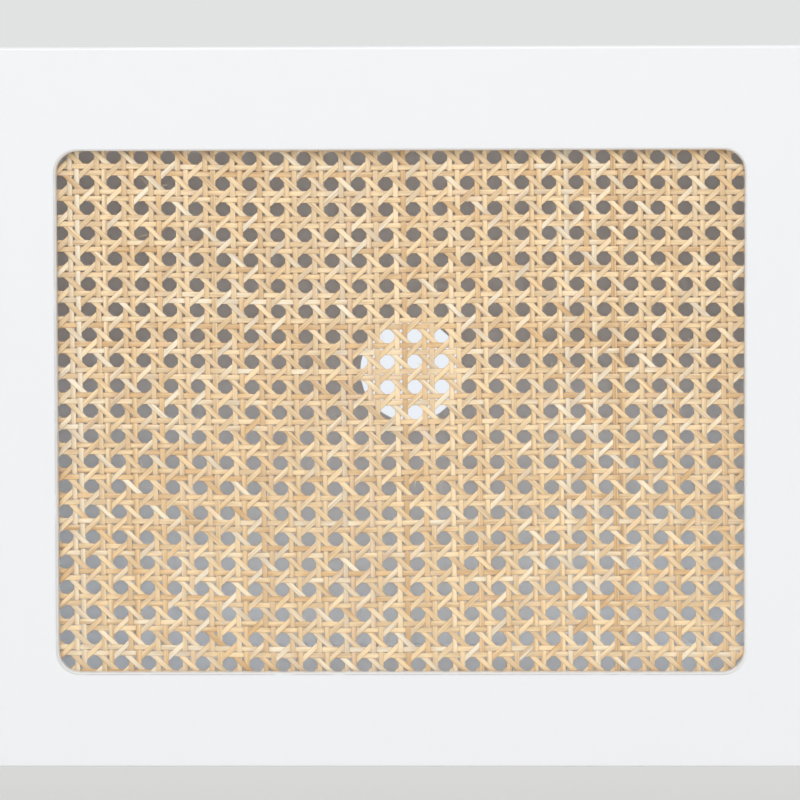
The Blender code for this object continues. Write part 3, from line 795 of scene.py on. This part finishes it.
def strand_layer(tree, size, run, hand, salt):
    """One set of strands as curves. run is up, level or slant, hand is -1 or 1 in a pair or slope."""
    pitch_x, pitch_y = size["Pitch Across"], size["Pitch Up"]
    first_x, first_y = size["First Upright"], size["First Level"]
    count_x = (size["Width"] / pitch_x).one("CEIL") + 3.0
    count_y = (size["Height"] / pitch_y).one("CEIL") + 3.0
    thickness = size["Strand Thickness"]
    start, pitch, count = (first_y, pitch_y, count_y) if run == "up" else (first_x, pitch_x, count_x)
    copies = {"up": count_x, "level": count_y, "slant": count_x + count_y}[run]
    end, points = start + (count - 1.0) * pitch, count * float(WEAVE_STEPS) + 1.0
    line, number, travel = copied_lines(tree, start - pitch, end, points, copies)
    phase = (travel - start) / pitch
    stray = random_value(tree, -STRAY, STRAY, number, salt)
    if run == "slant":
        rise = pitch_y / pitch_x * float(hand)
        base = first_y + pitch_y * 0.5 + number * pitch_y
        base = base - count_x * pitch_y if hand > 0 else base
        x, y = travel, base + (travel - first_x) * rise + stray
        height = (phase * FULL_TURN).one("COSINE") * thickness * (-1.0 * hand)
    else:
        bunched = travel - (phase * FULL_TURN).one("SINE") * pitch * (WEAVE_BUNCH / FULL_TURN)
        spacing = size["Upright Spacing"] if run == "up" else size["Level Spacing"]
        aside = spacing * (0.5 * hand) + stray
        height = crossing_height((bunched - start) / pitch) * thickness * 0.75
        if run == "up":
            x, y, height = first_x + number * pitch_x + aside, bunched, height * (-1.0 * hand)
        else:
            x, y, height = bunched, first_y + number * pitch_y + aside, height * float(hand)
    drift = vector(tree, x, y, size["Seed"] * 3.7)
    wander = {"Vector": drift, "Scale": 7.0, "Detail": 1.0}
    shift_x, shift_y, _ = Wire.node(tree, "ShaderNodeTexNoise", None, wander, 1).parts()
    from_start = x - size["Bow Start"]
    wave = (from_start * (FULL_TURN / BOW_LENGTH)).one("COSINE")
    bowed = wave * size["Bow"] * (1.0 - from_start * BOW_FADE)
    placed_x = x + (shift_x - 0.5) * size["Sway"] * 2.5 - y * size["Lean"]
    placed_y = y + (shift_y - 0.5) * size["Sway"] * 2.0 + bowed
    strands = stored(placed(line, placed_x, placed_y, height), "along", travel)
    tone = random_value(tree, *TONES[run], number, size["Seed"] + float(salt))
    strands = stored(strands, "strand", tone)
    strands = stored(strands, "rank", number * 2.0 + (hand + 1) / 2)
    x, y, _ = Wire.node(tree, "GeometryNodeInputPosition").parts()
    reach_x = (x / size["Width"]).one("ABSOLUTE")
    reach_y = (y / size["Height"]).one("ABSOLUTE")
    outside = reach_x.maths("MAXIMUM", reach_x, reach_y).compared("GREATER_THAN", 0.5)
    strands = strands.into("GeometryNodeDeleteGeometry", {"domain": "POINT"}, {"Selection": outside})
    stub = Wire.node(tree, "GeometryNodeSplineLength", None, None, 1).compared("LESS_THAN", 2.5)
    strands = strands.into("GeometryNodeDeleteGeometry", {"domain": "CURVE"}, {"Selection": stub})
    fullness = random_value(tree, *FULLNESS, number, salt + 11)
    return strands.into("GeometryNodeSetCurveRadius", None, {"Radius": fullness})


def fibre_layer(tree, size, salt):
    """Thin stray fibres that bridge the holes here and there."""
    line, number, travel = copied_lines(tree, 0.0, 1.0, 7, size["Fibres"])
    seed = size["Seed"] + float(salt)
    angle = random_value(tree, 0.0, FULL_TURN, number, seed)
    reach = random_value(tree, *FIBRE_LENGTHS, number, seed + 1.0)
    bow = random_value(tree, -FIBRE_BOW, FIBRE_BOW, number, seed + 2.0)
    middle_x = random_value(tree, -FIBRE_SPREAD, FIBRE_SPREAD, number, seed + 3.0) * size["Width"]
    middle_y = random_value(tree, -FIBRE_SPREAD, FIBRE_SPREAD, number, seed + 4.0) * size["Height"]
    ahead = (travel - 0.5) * reach
    aside = travel * (1.0 - travel) * bow * 4.0
    cosine, sine = angle.one("COSINE"), angle.one("SINE")
    x = middle_x + ahead * cosine - aside * sine
    y = middle_y + ahead * sine + aside * cosine
    fibres = placed(line, x, y, size["Strand Thickness"] * 0.9)
    fibres = stored(fibres, "along", ahead)
    fibres = stored(fibres, "strand", random_value(tree, 0.8, 1.2, number, seed + 5.0))
    fibres = stored(fibres, "rank", number + 1000.0)
    return fibres.into("GeometryNodeSetCurveRadius", None, {"Radius": 1.0})


def swept(curves, profile):
    """Strands with this section, their flat sides up."""
    curves = curves.into("GeometryNodeSetCurveNormal", {"mode": "Z_UP"})
    return curves.into("GeometryNodeCurveToMesh", None, {"Profile Curve": profile, "Fill Caps": True})


def joined(tree, parts):
    node = tree.nodes.new("GeometryNodeJoinGeometry")
    for part in parts:
        tree.links.new(part.socket, node.inputs[0])
    return Wire(tree, node.outputs[0])


def weave_tree(name, layers, with_fibres=False):
    """The tree that weaves some layers of a cane panel, flat, and stands it upright at its place."""
    others = {"Centre": "Vector", "Fibres": "Int", "Seed": "Int", "Finish": "Material"}
    tree, size = new_tree(name, dict.fromkeys(WEAVE_SIZES, "Float") | others)
    profile = strand_profile(tree, size["Strand Width"], size["Strand Thickness"])
    parts = [
        swept(strand_layer(tree, size, run, hand, salt), profile) for salt, (run, hand) in enumerate(layers)
    ]
    if with_fibres:
        parts.append(swept(fibre_layer(tree, size, 40), round_profile(tree, 4, FIBRE_RADIUS)))
    panel = joined(tree, parts).into("GeometryNodeSetShadeSmooth")
    upright = {"Translation": size["Centre"], "Rotation": (math.pi / 2, 0.0, 0.0)}
    close_tree(panel.into("GeometryNodeTransform", None, upright), size["Finish"])
    return tree


def strip_map(mesh):
    """A bake map that lays every strand out as a strip of its own."""
    along, around, rank = (
        pulled(mesh.attributes[name].data, "value", np.float32) for name in ("along", "around", "rank")
    )
    _, row = np.unique(np.round(rank), return_inverse=True)
    corner_vertex = pulled(mesh.loops, "vertex_index", np.int32)
    first = pulled(mesh.polygons, "loop_start", np.int32)
    total = pulled(mesh.polygons, "loop_total", np.int32)
    turn = around[corner_vertex]
    widest = np.repeat(np.maximum.reduceat(turn, first), total)
    wraps = (widest - turn > 0.5) & (np.repeat(total, total) == 4)
    turn = np.where(wraps, turn + 1.0, turn)
    reach = along[corner_vertex]
    u = (reach - reach.min()) / (reach.max() - reach.min())
    v = (row[corner_vertex] + 0.04 + 0.92 * turn) / (row.max() + 1)
    layer = mesh.uv_layers.new(name=BAKE_MAP)
    layer.uv.foreach_set("vector", np.stack((u, v), axis=1).astype(np.float32).ravel())


def head_mesh():
    """A screw head of unit radius and height, with a cross recess."""
    arm, slot = 0.62, 0.17
    corners = ((arm, -slot), (arm, slot), (slot, slot))
    quarters = [math.pi / 2 * quarter for quarter in range(4)]
    cross = [
        (x * math.cos(turn) - y * math.sin(turn), x * math.sin(turn) + y * math.cos(turn))
        for turn in quarters
        for x, y in corners
    ]
    spread = [math.radians(offset) for offset in (-14.0, 14.0, 45.0)]
    turns = [quarter + offset for quarter in quarters for offset in spread]

    def ring(radius, height):
        return [(radius * math.cos(turn), radius * math.sin(turn), height) for turn in turns]

    loops = [ring(1.0, 0.0), ring(1.0, 0.35), ring(0.9, 0.72), ring(0.74, 0.9)]
    loops.append([(x, y, 0.96) for x, y in cross])
    loops.append([(x * 0.9, y * 0.9, 0.25) for x, y in cross])
    return settled(loops_mesh("screw_head", loops, capped=True), 50.0)


def fastener_tree():
    """The tree that sets one head on every point, facing the point's way and turned at random."""
    tree, size = new_tree("set_heads", {"Head": "Object", "Seed": "Int", "Finish": "Material"})
    head = Wire.node(tree, "GeometryNodeObjectInfo", None, {"Object": size["Head"]}, "Geometry")

    def named(name):
        settings = {"data_type": "FLOAT_VECTOR"}
        return Wire.node(tree, "GeometryNodeInputNamedAttribute", settings, {"Name": name}, "Attribute")

    angle = random_value(tree, 0.0, FULL_TURN, Wire.node(tree, "GeometryNodeInputIndex"), size["Seed"])
    twist = {"Axis": (0.0, 0.0, 1.0), "Angle": angle}
    twist = Wire.node(tree, "FunctionNodeAxisAngleToRotation", None, twist)
    facing = {"Vector": named("facing")}
    facing = Wire.node(tree, "FunctionNodeAlignRotationToVector", {"axis": "Z"}, facing)
    turn = facing.into("FunctionNodeRotateRotation", {"rotation_space": "LOCAL"}, {"Rotate By": twist})
    heads = {"Instance": head, "Rotation": turn, "Scale": named("head_size")}
    close_tree(size["Geometry"].into("GeometryNodeInstanceOnPoints", None, heads), size["Finish"])
    return tree


def point_mesh(name, places):
    """Loose points with the way each head faces and its size, from (point, facing, radius, rise) rows."""
    mesh = bpy.data.meshes.new(name)
    mesh.from_pydata([tuple(place) for place, _, _, _ in places], [], [])
    for key, values in (
        ("facing", [facing for _, facing, _, _ in places]),
        ("head_size", [(radius, radius, rise) for _, _, radius, rise in places]),
    ):
        data = mesh.attributes.new(key, "FLOAT_VECTOR", "POINT").data
        data.foreach_set("vector", np.array(values, np.float32).ravel())
    return mesh


def first_band(hole, pitch, reach):
    """Place of the first pair outside the panel's lower or left edge, for a hole at this place."""
    band = hole + pitch / 2
    return band - pitch * math.ceil((band + reach) / pitch)


def set_heads(name, rows, body, seed):
    """One piece of zinc-plated fastener heads on a body."""
    tree = bpy.data.node_groups.get("set_heads") or fastener_tree()
    head = linked("head_pattern", bpy.data.meshes.get("screw_head") or head_mesh())
    inputs = {"Head": head, "Seed": seed, "Finish": bpy.data.materials["zinc_plate"]}
    mesh = grown_mesh(name, tree, inputs, point_mesh(name + "_points", rows))
    bpy.data.objects.remove(head)
    piece(mesh, body)


def door_side(door_name):
    """1 for a door hinged on its left, -1 for one hinged on its right."""
    return 1 if middle(door_name + "_upper_hinge_cup")[0] < middle(door_name + "_frame")[0] else -1


class CANE_STAND_OT_carcass(bpy.types.Operator):
    """Give the panels their lacquer and foil, and set the joining cams"""

    bl_idname = "cane_stand.carcass"
    bl_label = "Carcass"

    def execute(self, context):
        stand = context.scene.cane_stand
        dress(("top_panel", "bottom_panel", *CAM_SIDES), "sprayed_lacquer")
        dress([place + "_back_panel" for place in PLACES], "white_foil")
        cams = []
        for upright, facing in CAM_SIDES.items():
            low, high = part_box(upright)
            for y in (low.y + CAM_FRONT, high.y - CAM_BACK):
                for z in (low.z + CAM_ASIDE, high.z - CAM_ASIDE):
                    place = (face_of(upright, facing), y, z)
                    cams.append((place, (facing, 0, 0), stand.fitting.cam_radius, CAM_RISE))
        set_heads("carcass_cams", cams, "carcass", stand.fitting.seed)
        return {"FINISHED"}


class CANE_STAND_OT_door_frames(bpy.types.Operator):
    """Make the lacquered door frames and finish the retainers behind them"""

    bl_idname = "cane_stand.door_frames"
    bl_label = "Door frames"

    def execute(self, context):
        stand = context.scene.cane_stand
        for name in DOORS:
            made = piece(door_frame_mesh(name, stand.door), name, "sprayed_lacquer")
            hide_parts(name + "_frame")
            dress([name + "_cane_retainer"], "white_foil")
            low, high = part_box(name + "_cane_retainer")
            left, right = low.x + PIN_INSET, high.x - PIN_INSET
            bottom, top = low.z + PIN_INSET, high.z - PIN_INSET
            pins = []
            for part in range(PINS_ACROSS):
                x = left + (right - left) * (part + 0.5) / PINS_ACROSS
                pins += [(x, bottom), (x, top)]
            for part in range(PINS_UP):
                z = bottom + (top - bottom) * (part + 0.5) / PINS_UP
                pins += [(left, z), (right, z)]
            rows = [((x, high.y, z), (0, 1, 0), stand.fitting.pin_radius, PIN_RISE) for x, z in pins]
            set_heads(name + "_retainer_pins", rows, name, stand.fitting.seed)
        return {"FINISHED"}


class CANE_STAND_OT_cane_panels(bpy.types.Operator):
    """Weave the three cane panels from upright pairs, level pairs and two sets of slanting strands"""

    bl_idname = "cane_stand.cane_panels"
    bl_label = "Cane panels"

    def execute(self, context):
        stand = context.scene.cane_stand
        cane = stand.cane
        layers = (
            ("uprights", weave_tree("cane_uprights", (("up", -1), ("up", 1)))),
            ("levels", weave_tree("cane_levels", (("level", -1), ("level", 1)))),
            ("slants", weave_tree("cane_slants", (("slant", -1), ("slant", 1)), with_fibres=True)),
        )
        for number, name in enumerate(DOORS):
            centre, width, height = window_of(name, stand.door)
            margin = stand.door.rebate_margin - CANE_PLAY
            inputs = {label: getattr(cane, label.lower().replace(" ", "_")) for label in CANE_SIZES}
            inputs |= {
                "Width": width + 2 * margin,
                "Height": height + 2 * margin,
                "First Upright": first_band(cane.hole_across, cane.pitch_across, width / 2 + margin),
                "First Level": first_band(cane.hole_up, cane.pitch_up, height / 2 + margin),
                "Bow Start": BOW_STARTS[name],
                "Centre": (centre[0], middle(name + "_cane")[1], centre[1]),
                "Fibres": cane.fibres,
                "Seed": cane.seed + number,
                "Finish": bpy.data.materials["natural_cane"],
            }
            for layer, tree in layers:
                inputs["Strand Width"] = cane.slant_width if layer == "slants" else cane.strand_width
                mesh = grown_mesh(f"{name}_cane_{layer}", tree, inputs)
                strip_map(mesh)
                made = piece(mesh, name)
                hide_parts(name + "_cane")
        return {"FINISHED"}


class CANE_STAND_OT_hinges(bpy.types.Operator):
    """Finish the cup hinges and set their screws"""

    bl_idname = "cane_stand.hinges"
    bl_label = "Hinges"

    def execute(self, context):
        fitting = context.scene.cane_stand.fitting
        screw = (fitting.screw_radius, fitting.screw_rise)
        dress([hinge + "_cup" for hinge in HINGES], "nickel_plate")
        dress([hinge + "_pin" for hinge in HINGES], "zinc_plate")
        for part in ("_arm", "_plate"):
            eased([hinge + part for hinge in HINGES], "carcass", "nickel_plate", fitting.ease)
        on_carcass = []
        for name in DOORS:
            side = door_side(name)
            on_door = []
            for level in ("upper", "lower"):
                hinge = f"{name}_{level}_hinge_"
                x, _, z = middle(hinge + "cup")
                _, cup_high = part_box(hinge + "cup")
                for rise in (-CUP_SCREW_RISE, CUP_SCREW_RISE):
                    on_door.append(((x, cup_high.y, z + rise), (0, 1, 0), *screw))
                face = face_of(hinge + "plate", side)
                _, y, _ = middle(hinge + "plate")
                for rise in (-PLATE_SCREW_RISE, PLATE_SCREW_RISE):
                    on_carcass.append(((face, y, z + rise), (side, 0, 0), *screw))
                face = face_of(hinge + "arm", side)
                _, arm_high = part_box(hinge + "arm")
                for back in ARM_SCREW_PLACES:
                    on_carcass.append(((face, arm_high.y - back, z), (side, 0, 0), *ARM_SCREW))
            set_heads(name + "_hinge_screws", on_door, name, fitting.seed)
        set_heads("carcass_hinge_screws", on_carcass, "carcass", fitting.seed + 1)
        return {"FINISHED"}


class CANE_STAND_OT_latches(bpy.types.Operator):
    """Finish the push latches and their strike plates"""

    bl_idname = "cane_stand.latches"
    bl_label = "Push latches"

    def execute(self, context):
        fitting = context.scene.cane_stand.fitting
        screws = []
        for name in DOORS:
            housing = name + "_latch_housing"
            eased([housing], "carcass", "moulded_plastic", fitting.ease * 2)
            dress([name + "_latch_plunger"], "moulded_plastic")
            eased([name + "_strike_plate"], name, "zinc_plate", fitting.ease)
            low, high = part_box(housing)
            x, _, _ = middle(housing)
            for y in (low.y + LATCH_SCREW_FRONT, high.y - LATCH_SCREW_BACK):
                screws.append(((x, y, low.z), (0, 0, -1), *LATCH_SCREW))
        set_heads("carcass_latch_screws", screws, "carcass", fitting.seed + 2)
        return {"FINISHED"}


class CANE_STAND_OT_legs(bpy.types.Operator):
    """Turn the legs, with felt glides under them and screws through their plates"""

    bl_idname = "cane_stand.legs"
    bl_label = "Legs"

    def execute(self, context):
        stand = context.scene.cane_stand
        leg = stand.leg
        screws = []
        for number, name in enumerate(LEGS):
            low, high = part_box(name)
            x, y, _ = middle(name)
            top_radius = (high.x - low.x) / 2
            foot, ease = low.z + leg.glide_height, leg.ease
            profile = [(FOOT_RADIUS - inset, foot + rise) for inset, rise in quarter_round(ease, 4)]
            for step in range(1, LEG_STEPS):
                way = step / LEG_STEPS
                radius = FOOT_RADIUS + (top_radius - FOOT_RADIUS) * way
                profile.append((radius, foot + ease + (high.z - foot - 2 * ease) * way))
            profile += [(top_radius - inset, high.z - drop) for drop, inset in quarter_round(ease, 4)]
            mesh = settled(turned_mesh(name + "_turned", profile, x, y, LEG_SIDES))
            aside, deep, up = PITH_STEPS
            from_middle = number - (len(LEGS) - 1) / 2
            pith = np.array((x - PITH_ASIDE - aside * number, y + deep * from_middle, up * number))
            places = pulled(mesh.vertices, "co", np.float32, 3).reshape(-1, 3) - pith
            grain = mesh.attributes.new("grain", "FLOAT_VECTOR", "POINT")
            grain.data.foreach_set("vector", places.astype(np.float32).ravel())
            made = piece(mesh, "carcass", "oiled_wood")
            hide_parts(name)
            rim = FOOT_RADIUS - ease
            inward, upward = GLIDE_BEVEL
            glide = [(rim - inward, low.z), (rim, low.z + upward), (rim, foot - GLIDE_GAP)]
            mesh = settled(turned_mesh(name + "_glide", glide, x, y, GLIDE_SIDES))
            piece(mesh, "carcass", "felt")
            dress([name + "_plate"], "zinc_plate")
            _, plate_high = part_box(name + "_plate")
            aside, z = LEG_SCREW_DISTANCE / math.sqrt(2), plate_high.z - LEG_PLATE_THICKNESS
            for right, back in ((1, 1), (-1, 1), (-1, -1), (1, -1)):
                screws.append(((x + aside * right, y + aside * back, z), (0, 0, -1), *LEG_SCREW))
        set_heads("carcass_leg_screws", screws, "carcass", stand.fitting.seed + 3)
        return {"FINISHED"}


class CANE_STAND_OT_finishes(bpy.types.Operator):
    """Make the finishes that the pieces share"""

    bl_idname = "cane_stand.finishes"
    bl_label = "Finishes"

    def execute(self, context):
        stand = context.scene.cane_stand
        lacquer_finish(stand.door)
        foil_finish(stand.door)
        cane_finish(stand.cane)
        wood_finish(stand.leg)
        plated_finish("nickel_plate", stand.fitting.nickel, 0.2)
        plated_finish("zinc_plate", stand.fitting.zinc, 0.3)
        plastic_finish(stand.fitting.plastic)
        felt_finish()
        return {"FINISHED"}


class CANE_STAND_OT_stage(bpy.types.Operator):
    """Set the floor, the backdrop, the lights and the camera"""

    bl_idname = "cane_stand.stage"
    bl_label = "Stage"

    def execute(self, context):
        scene = context.scene
        stage = scene.cane_stand.stage
        scene.view_settings.view_transform = "Standard"
        make_floor(stage)
        make_world(scene, stage)
        front = CAD_BOX[0].y
        add_light("key_light", stage.key, (-0.4, front - 7.5, 4.0), (0.0, front, 0.33), KEY_SIZE)
        add_light("back_light", stage.back, (0.0, 1.6, 1.8), (0.0, 1.0, 0.0), BACK_SIZE, BACK_SPREAD)
        for place in PLACES:
            low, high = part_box(place + "_back_panel")
            x, _, z = middle(place + "_back_panel")
            behind = (x, front + LAMP_DEPTH, z)
            lamp = add_light(place + "_lamp", stage.inside, behind, (x, high.y, z), LAMP_SIZE)
            lamp.color = stage.bounce
            for side in (-SHINE_ASIDE, SHINE_ASIDE):
                above = (x + side, front + SHINE_DEPTH, high.z - SHINE_DROP)
                below = (x + side * 1.5, low.y, low.z - 0.02)
                shine = add_light(place + "_shine", stage.shine, above, below, SHINE_SIZE, SHINE_SPREAD)
                shine.color = stage.daylight
        add_camera(scene, stage)
        return {"FINISHED"}


def light_paths(tree):
    """1 for rays that show a background: camera, glossy and transmission rays."""
    camera = Wire.node(tree, "ShaderNodeLightPath", None, None, "Is Camera Ray")
    seen = camera.maths("MAXIMUM", camera, camera.other("Is Glossy Ray"))
    return seen.maths("MAXIMUM", seen, camera.other("Is Transmission Ray"))


def blended(tree, factor, shader, other, output):
    """Sends a mix of two shaders to a tree's output."""
    sockets = {0: factor, 1: Wire(tree, shader.outputs[0]), 2: other}
    blend = Wire.node(tree, "ShaderNodeMixShader", None, sockets)
    tree.links.new(blend.socket, tree.nodes[output].inputs["Surface"])


def make_floor(stage):
    """A round pale floor that fades into the backdrop far from the stand."""
    points = [(FLOOR_RADIUS * x, FLOOR_RADIUS * y, -FLOOR_DROP) for x, y in circle_points(FLOOR_SIDES)]
    mesh = bpy.data.meshes.new("floor")
    mesh.from_pydata(points, [], [range(len(points))])
    tree = finish("floor_paint", {"Base Color": (*stage.floor, 1.0), "Roughness": 0.75})
    mesh.materials.append(bpy.data.materials["floor_paint"])
    x, y, _ = object_place(tree).parts()
    away = (x * x + y * y).one("SQRT").between(1.2, 4.2)
    glow = Wire.node(tree, "ShaderNodeEmission", None, {"Color": (*stage.horizon, 1.0)})
    paint = tree.nodes["Principled BSDF"]
    blended(tree, away * light_paths(tree), paint, glow, "Material Output")
    floor = linked("floor", mesh)


def make_world(scene, stage):
    """Even room light. What the camera sees is a plain backdrop, brightest level with the stand."""
    world = bpy.data.worlds.new("studio")
    world.use_nodes = True
    scene.world = world
    tree = world.node_tree
    room = tree.nodes["Background"]
    room.inputs["Color"].default_value = (0.99, 1.0, 0.995, 1.0)
    _, _, up = Wire.node(tree, "ShaderNodeTexCoord", None, None, "Generated").parts()
    tree.links.new((up.between(0.0, 0.9) * stage.ceiling + stage.ambient).socket, room.inputs["Strength"])
    shade = mixed(tree, up.between(-0.02, 0.05), stage.horizon, stage.sky)
    backdrop = Wire.node(tree, "ShaderNodeBackground", None, {"Color": shade})
    blended(tree, light_paths(tree), room, backdrop, "World Output")


def add_light(name, power, place, target, size, spread=180.0):
    data = bpy.data.lights.new(name, "AREA")
    data.shape = "RECTANGLE"
    data.size, data.size_y = size
    data.energy = power
    data.spread = math.radians(spread)
    light = linked(name, data)
    light.location = place
    light.rotation_euler = (Vector(target) - Vector(place)).to_track_quat("-Z", "Y").to_euler()
    light.visible_camera = False
    return data


def add_camera(scene, stage):
    """The camera stands a little right of the middle door and looks at its middle."""
    data = bpy.data.cameras.new("camera")
    data.sensor_width = SENSOR_WIDTH
    data.lens = stage.focal_pixels / FRAME_PIXELS * SENSOR_WIDTH
    camera = linked("camera", data)
    camera.location = (stage.camera_aside, CAD_BOX[0].y - stage.distance, stage.camera_height)
    turn = math.atan(stage.camera_aside / stage.distance)
    camera.rotation_euler = (math.pi / 2 - stage.tilt, stage.roll, turn)
    scene.camera = camera


class VIEW3D_PT_cane_stand(bpy.types.Panel):
    """Sizes, colours and makers of the cane TV stand"""

    bl_label = "Cane TV stand"
    bl_space_type = "VIEW_3D"
    bl_region_type = "UI"
    bl_category = "Cane stand"

    def draw(self, context):
        stand = context.scene.cane_stand
        for operator in OPERATORS:
            self.layout.operator(operator.bl_idname)
        for group in (stand.door, stand.cane, stand.leg, stand.fitting, stand.stage):
            box = self.layout.box()
            for key in group.bl_rna.properties.keys():
                if key not in ("rna_type", "name"):
                    box.prop(group, key)


OPERATORS = (
    CANE_STAND_OT_finishes,
    CANE_STAND_OT_carcass,
    CANE_STAND_OT_door_frames,
    CANE_STAND_OT_cane_panels,
    CANE_STAND_OT_hinges,
    CANE_STAND_OT_latches,
    CANE_STAND_OT_legs,
    CANE_STAND_OT_stage,
)
GROUPS = (DoorSettings, CaneSettings, LegSettings, FittingSettings, StageSettings, StandSettings)


def register():
    for cls in (*GROUPS, *OPERATORS, VIEW3D_PT_cane_stand):
        bpy.utils.register_class(cls)
    bpy.types.Scene.cane_stand = PointerProperty(type=StandSettings)


def unregister():
    del bpy.types.Scene.cane_stand
    for cls in reversed((*GROUPS, *OPERATORS, VIEW3D_PT_cane_stand)):
        bpy.utils.unregister_class(cls)


def main():
    register()
    bpy.ops.cane_stand.finishes()
    bpy.ops.cane_stand.carcass()
    bpy.ops.cane_stand.door_frames()
    bpy.ops.cane_stand.cane_panels()
    bpy.ops.cane_stand.hinges()
    bpy.ops.cane_stand.latches()
    bpy.ops.cane_stand.legs()
    bpy.ops.cane_stand.stage()


if __name__ == "__main__":
    main()
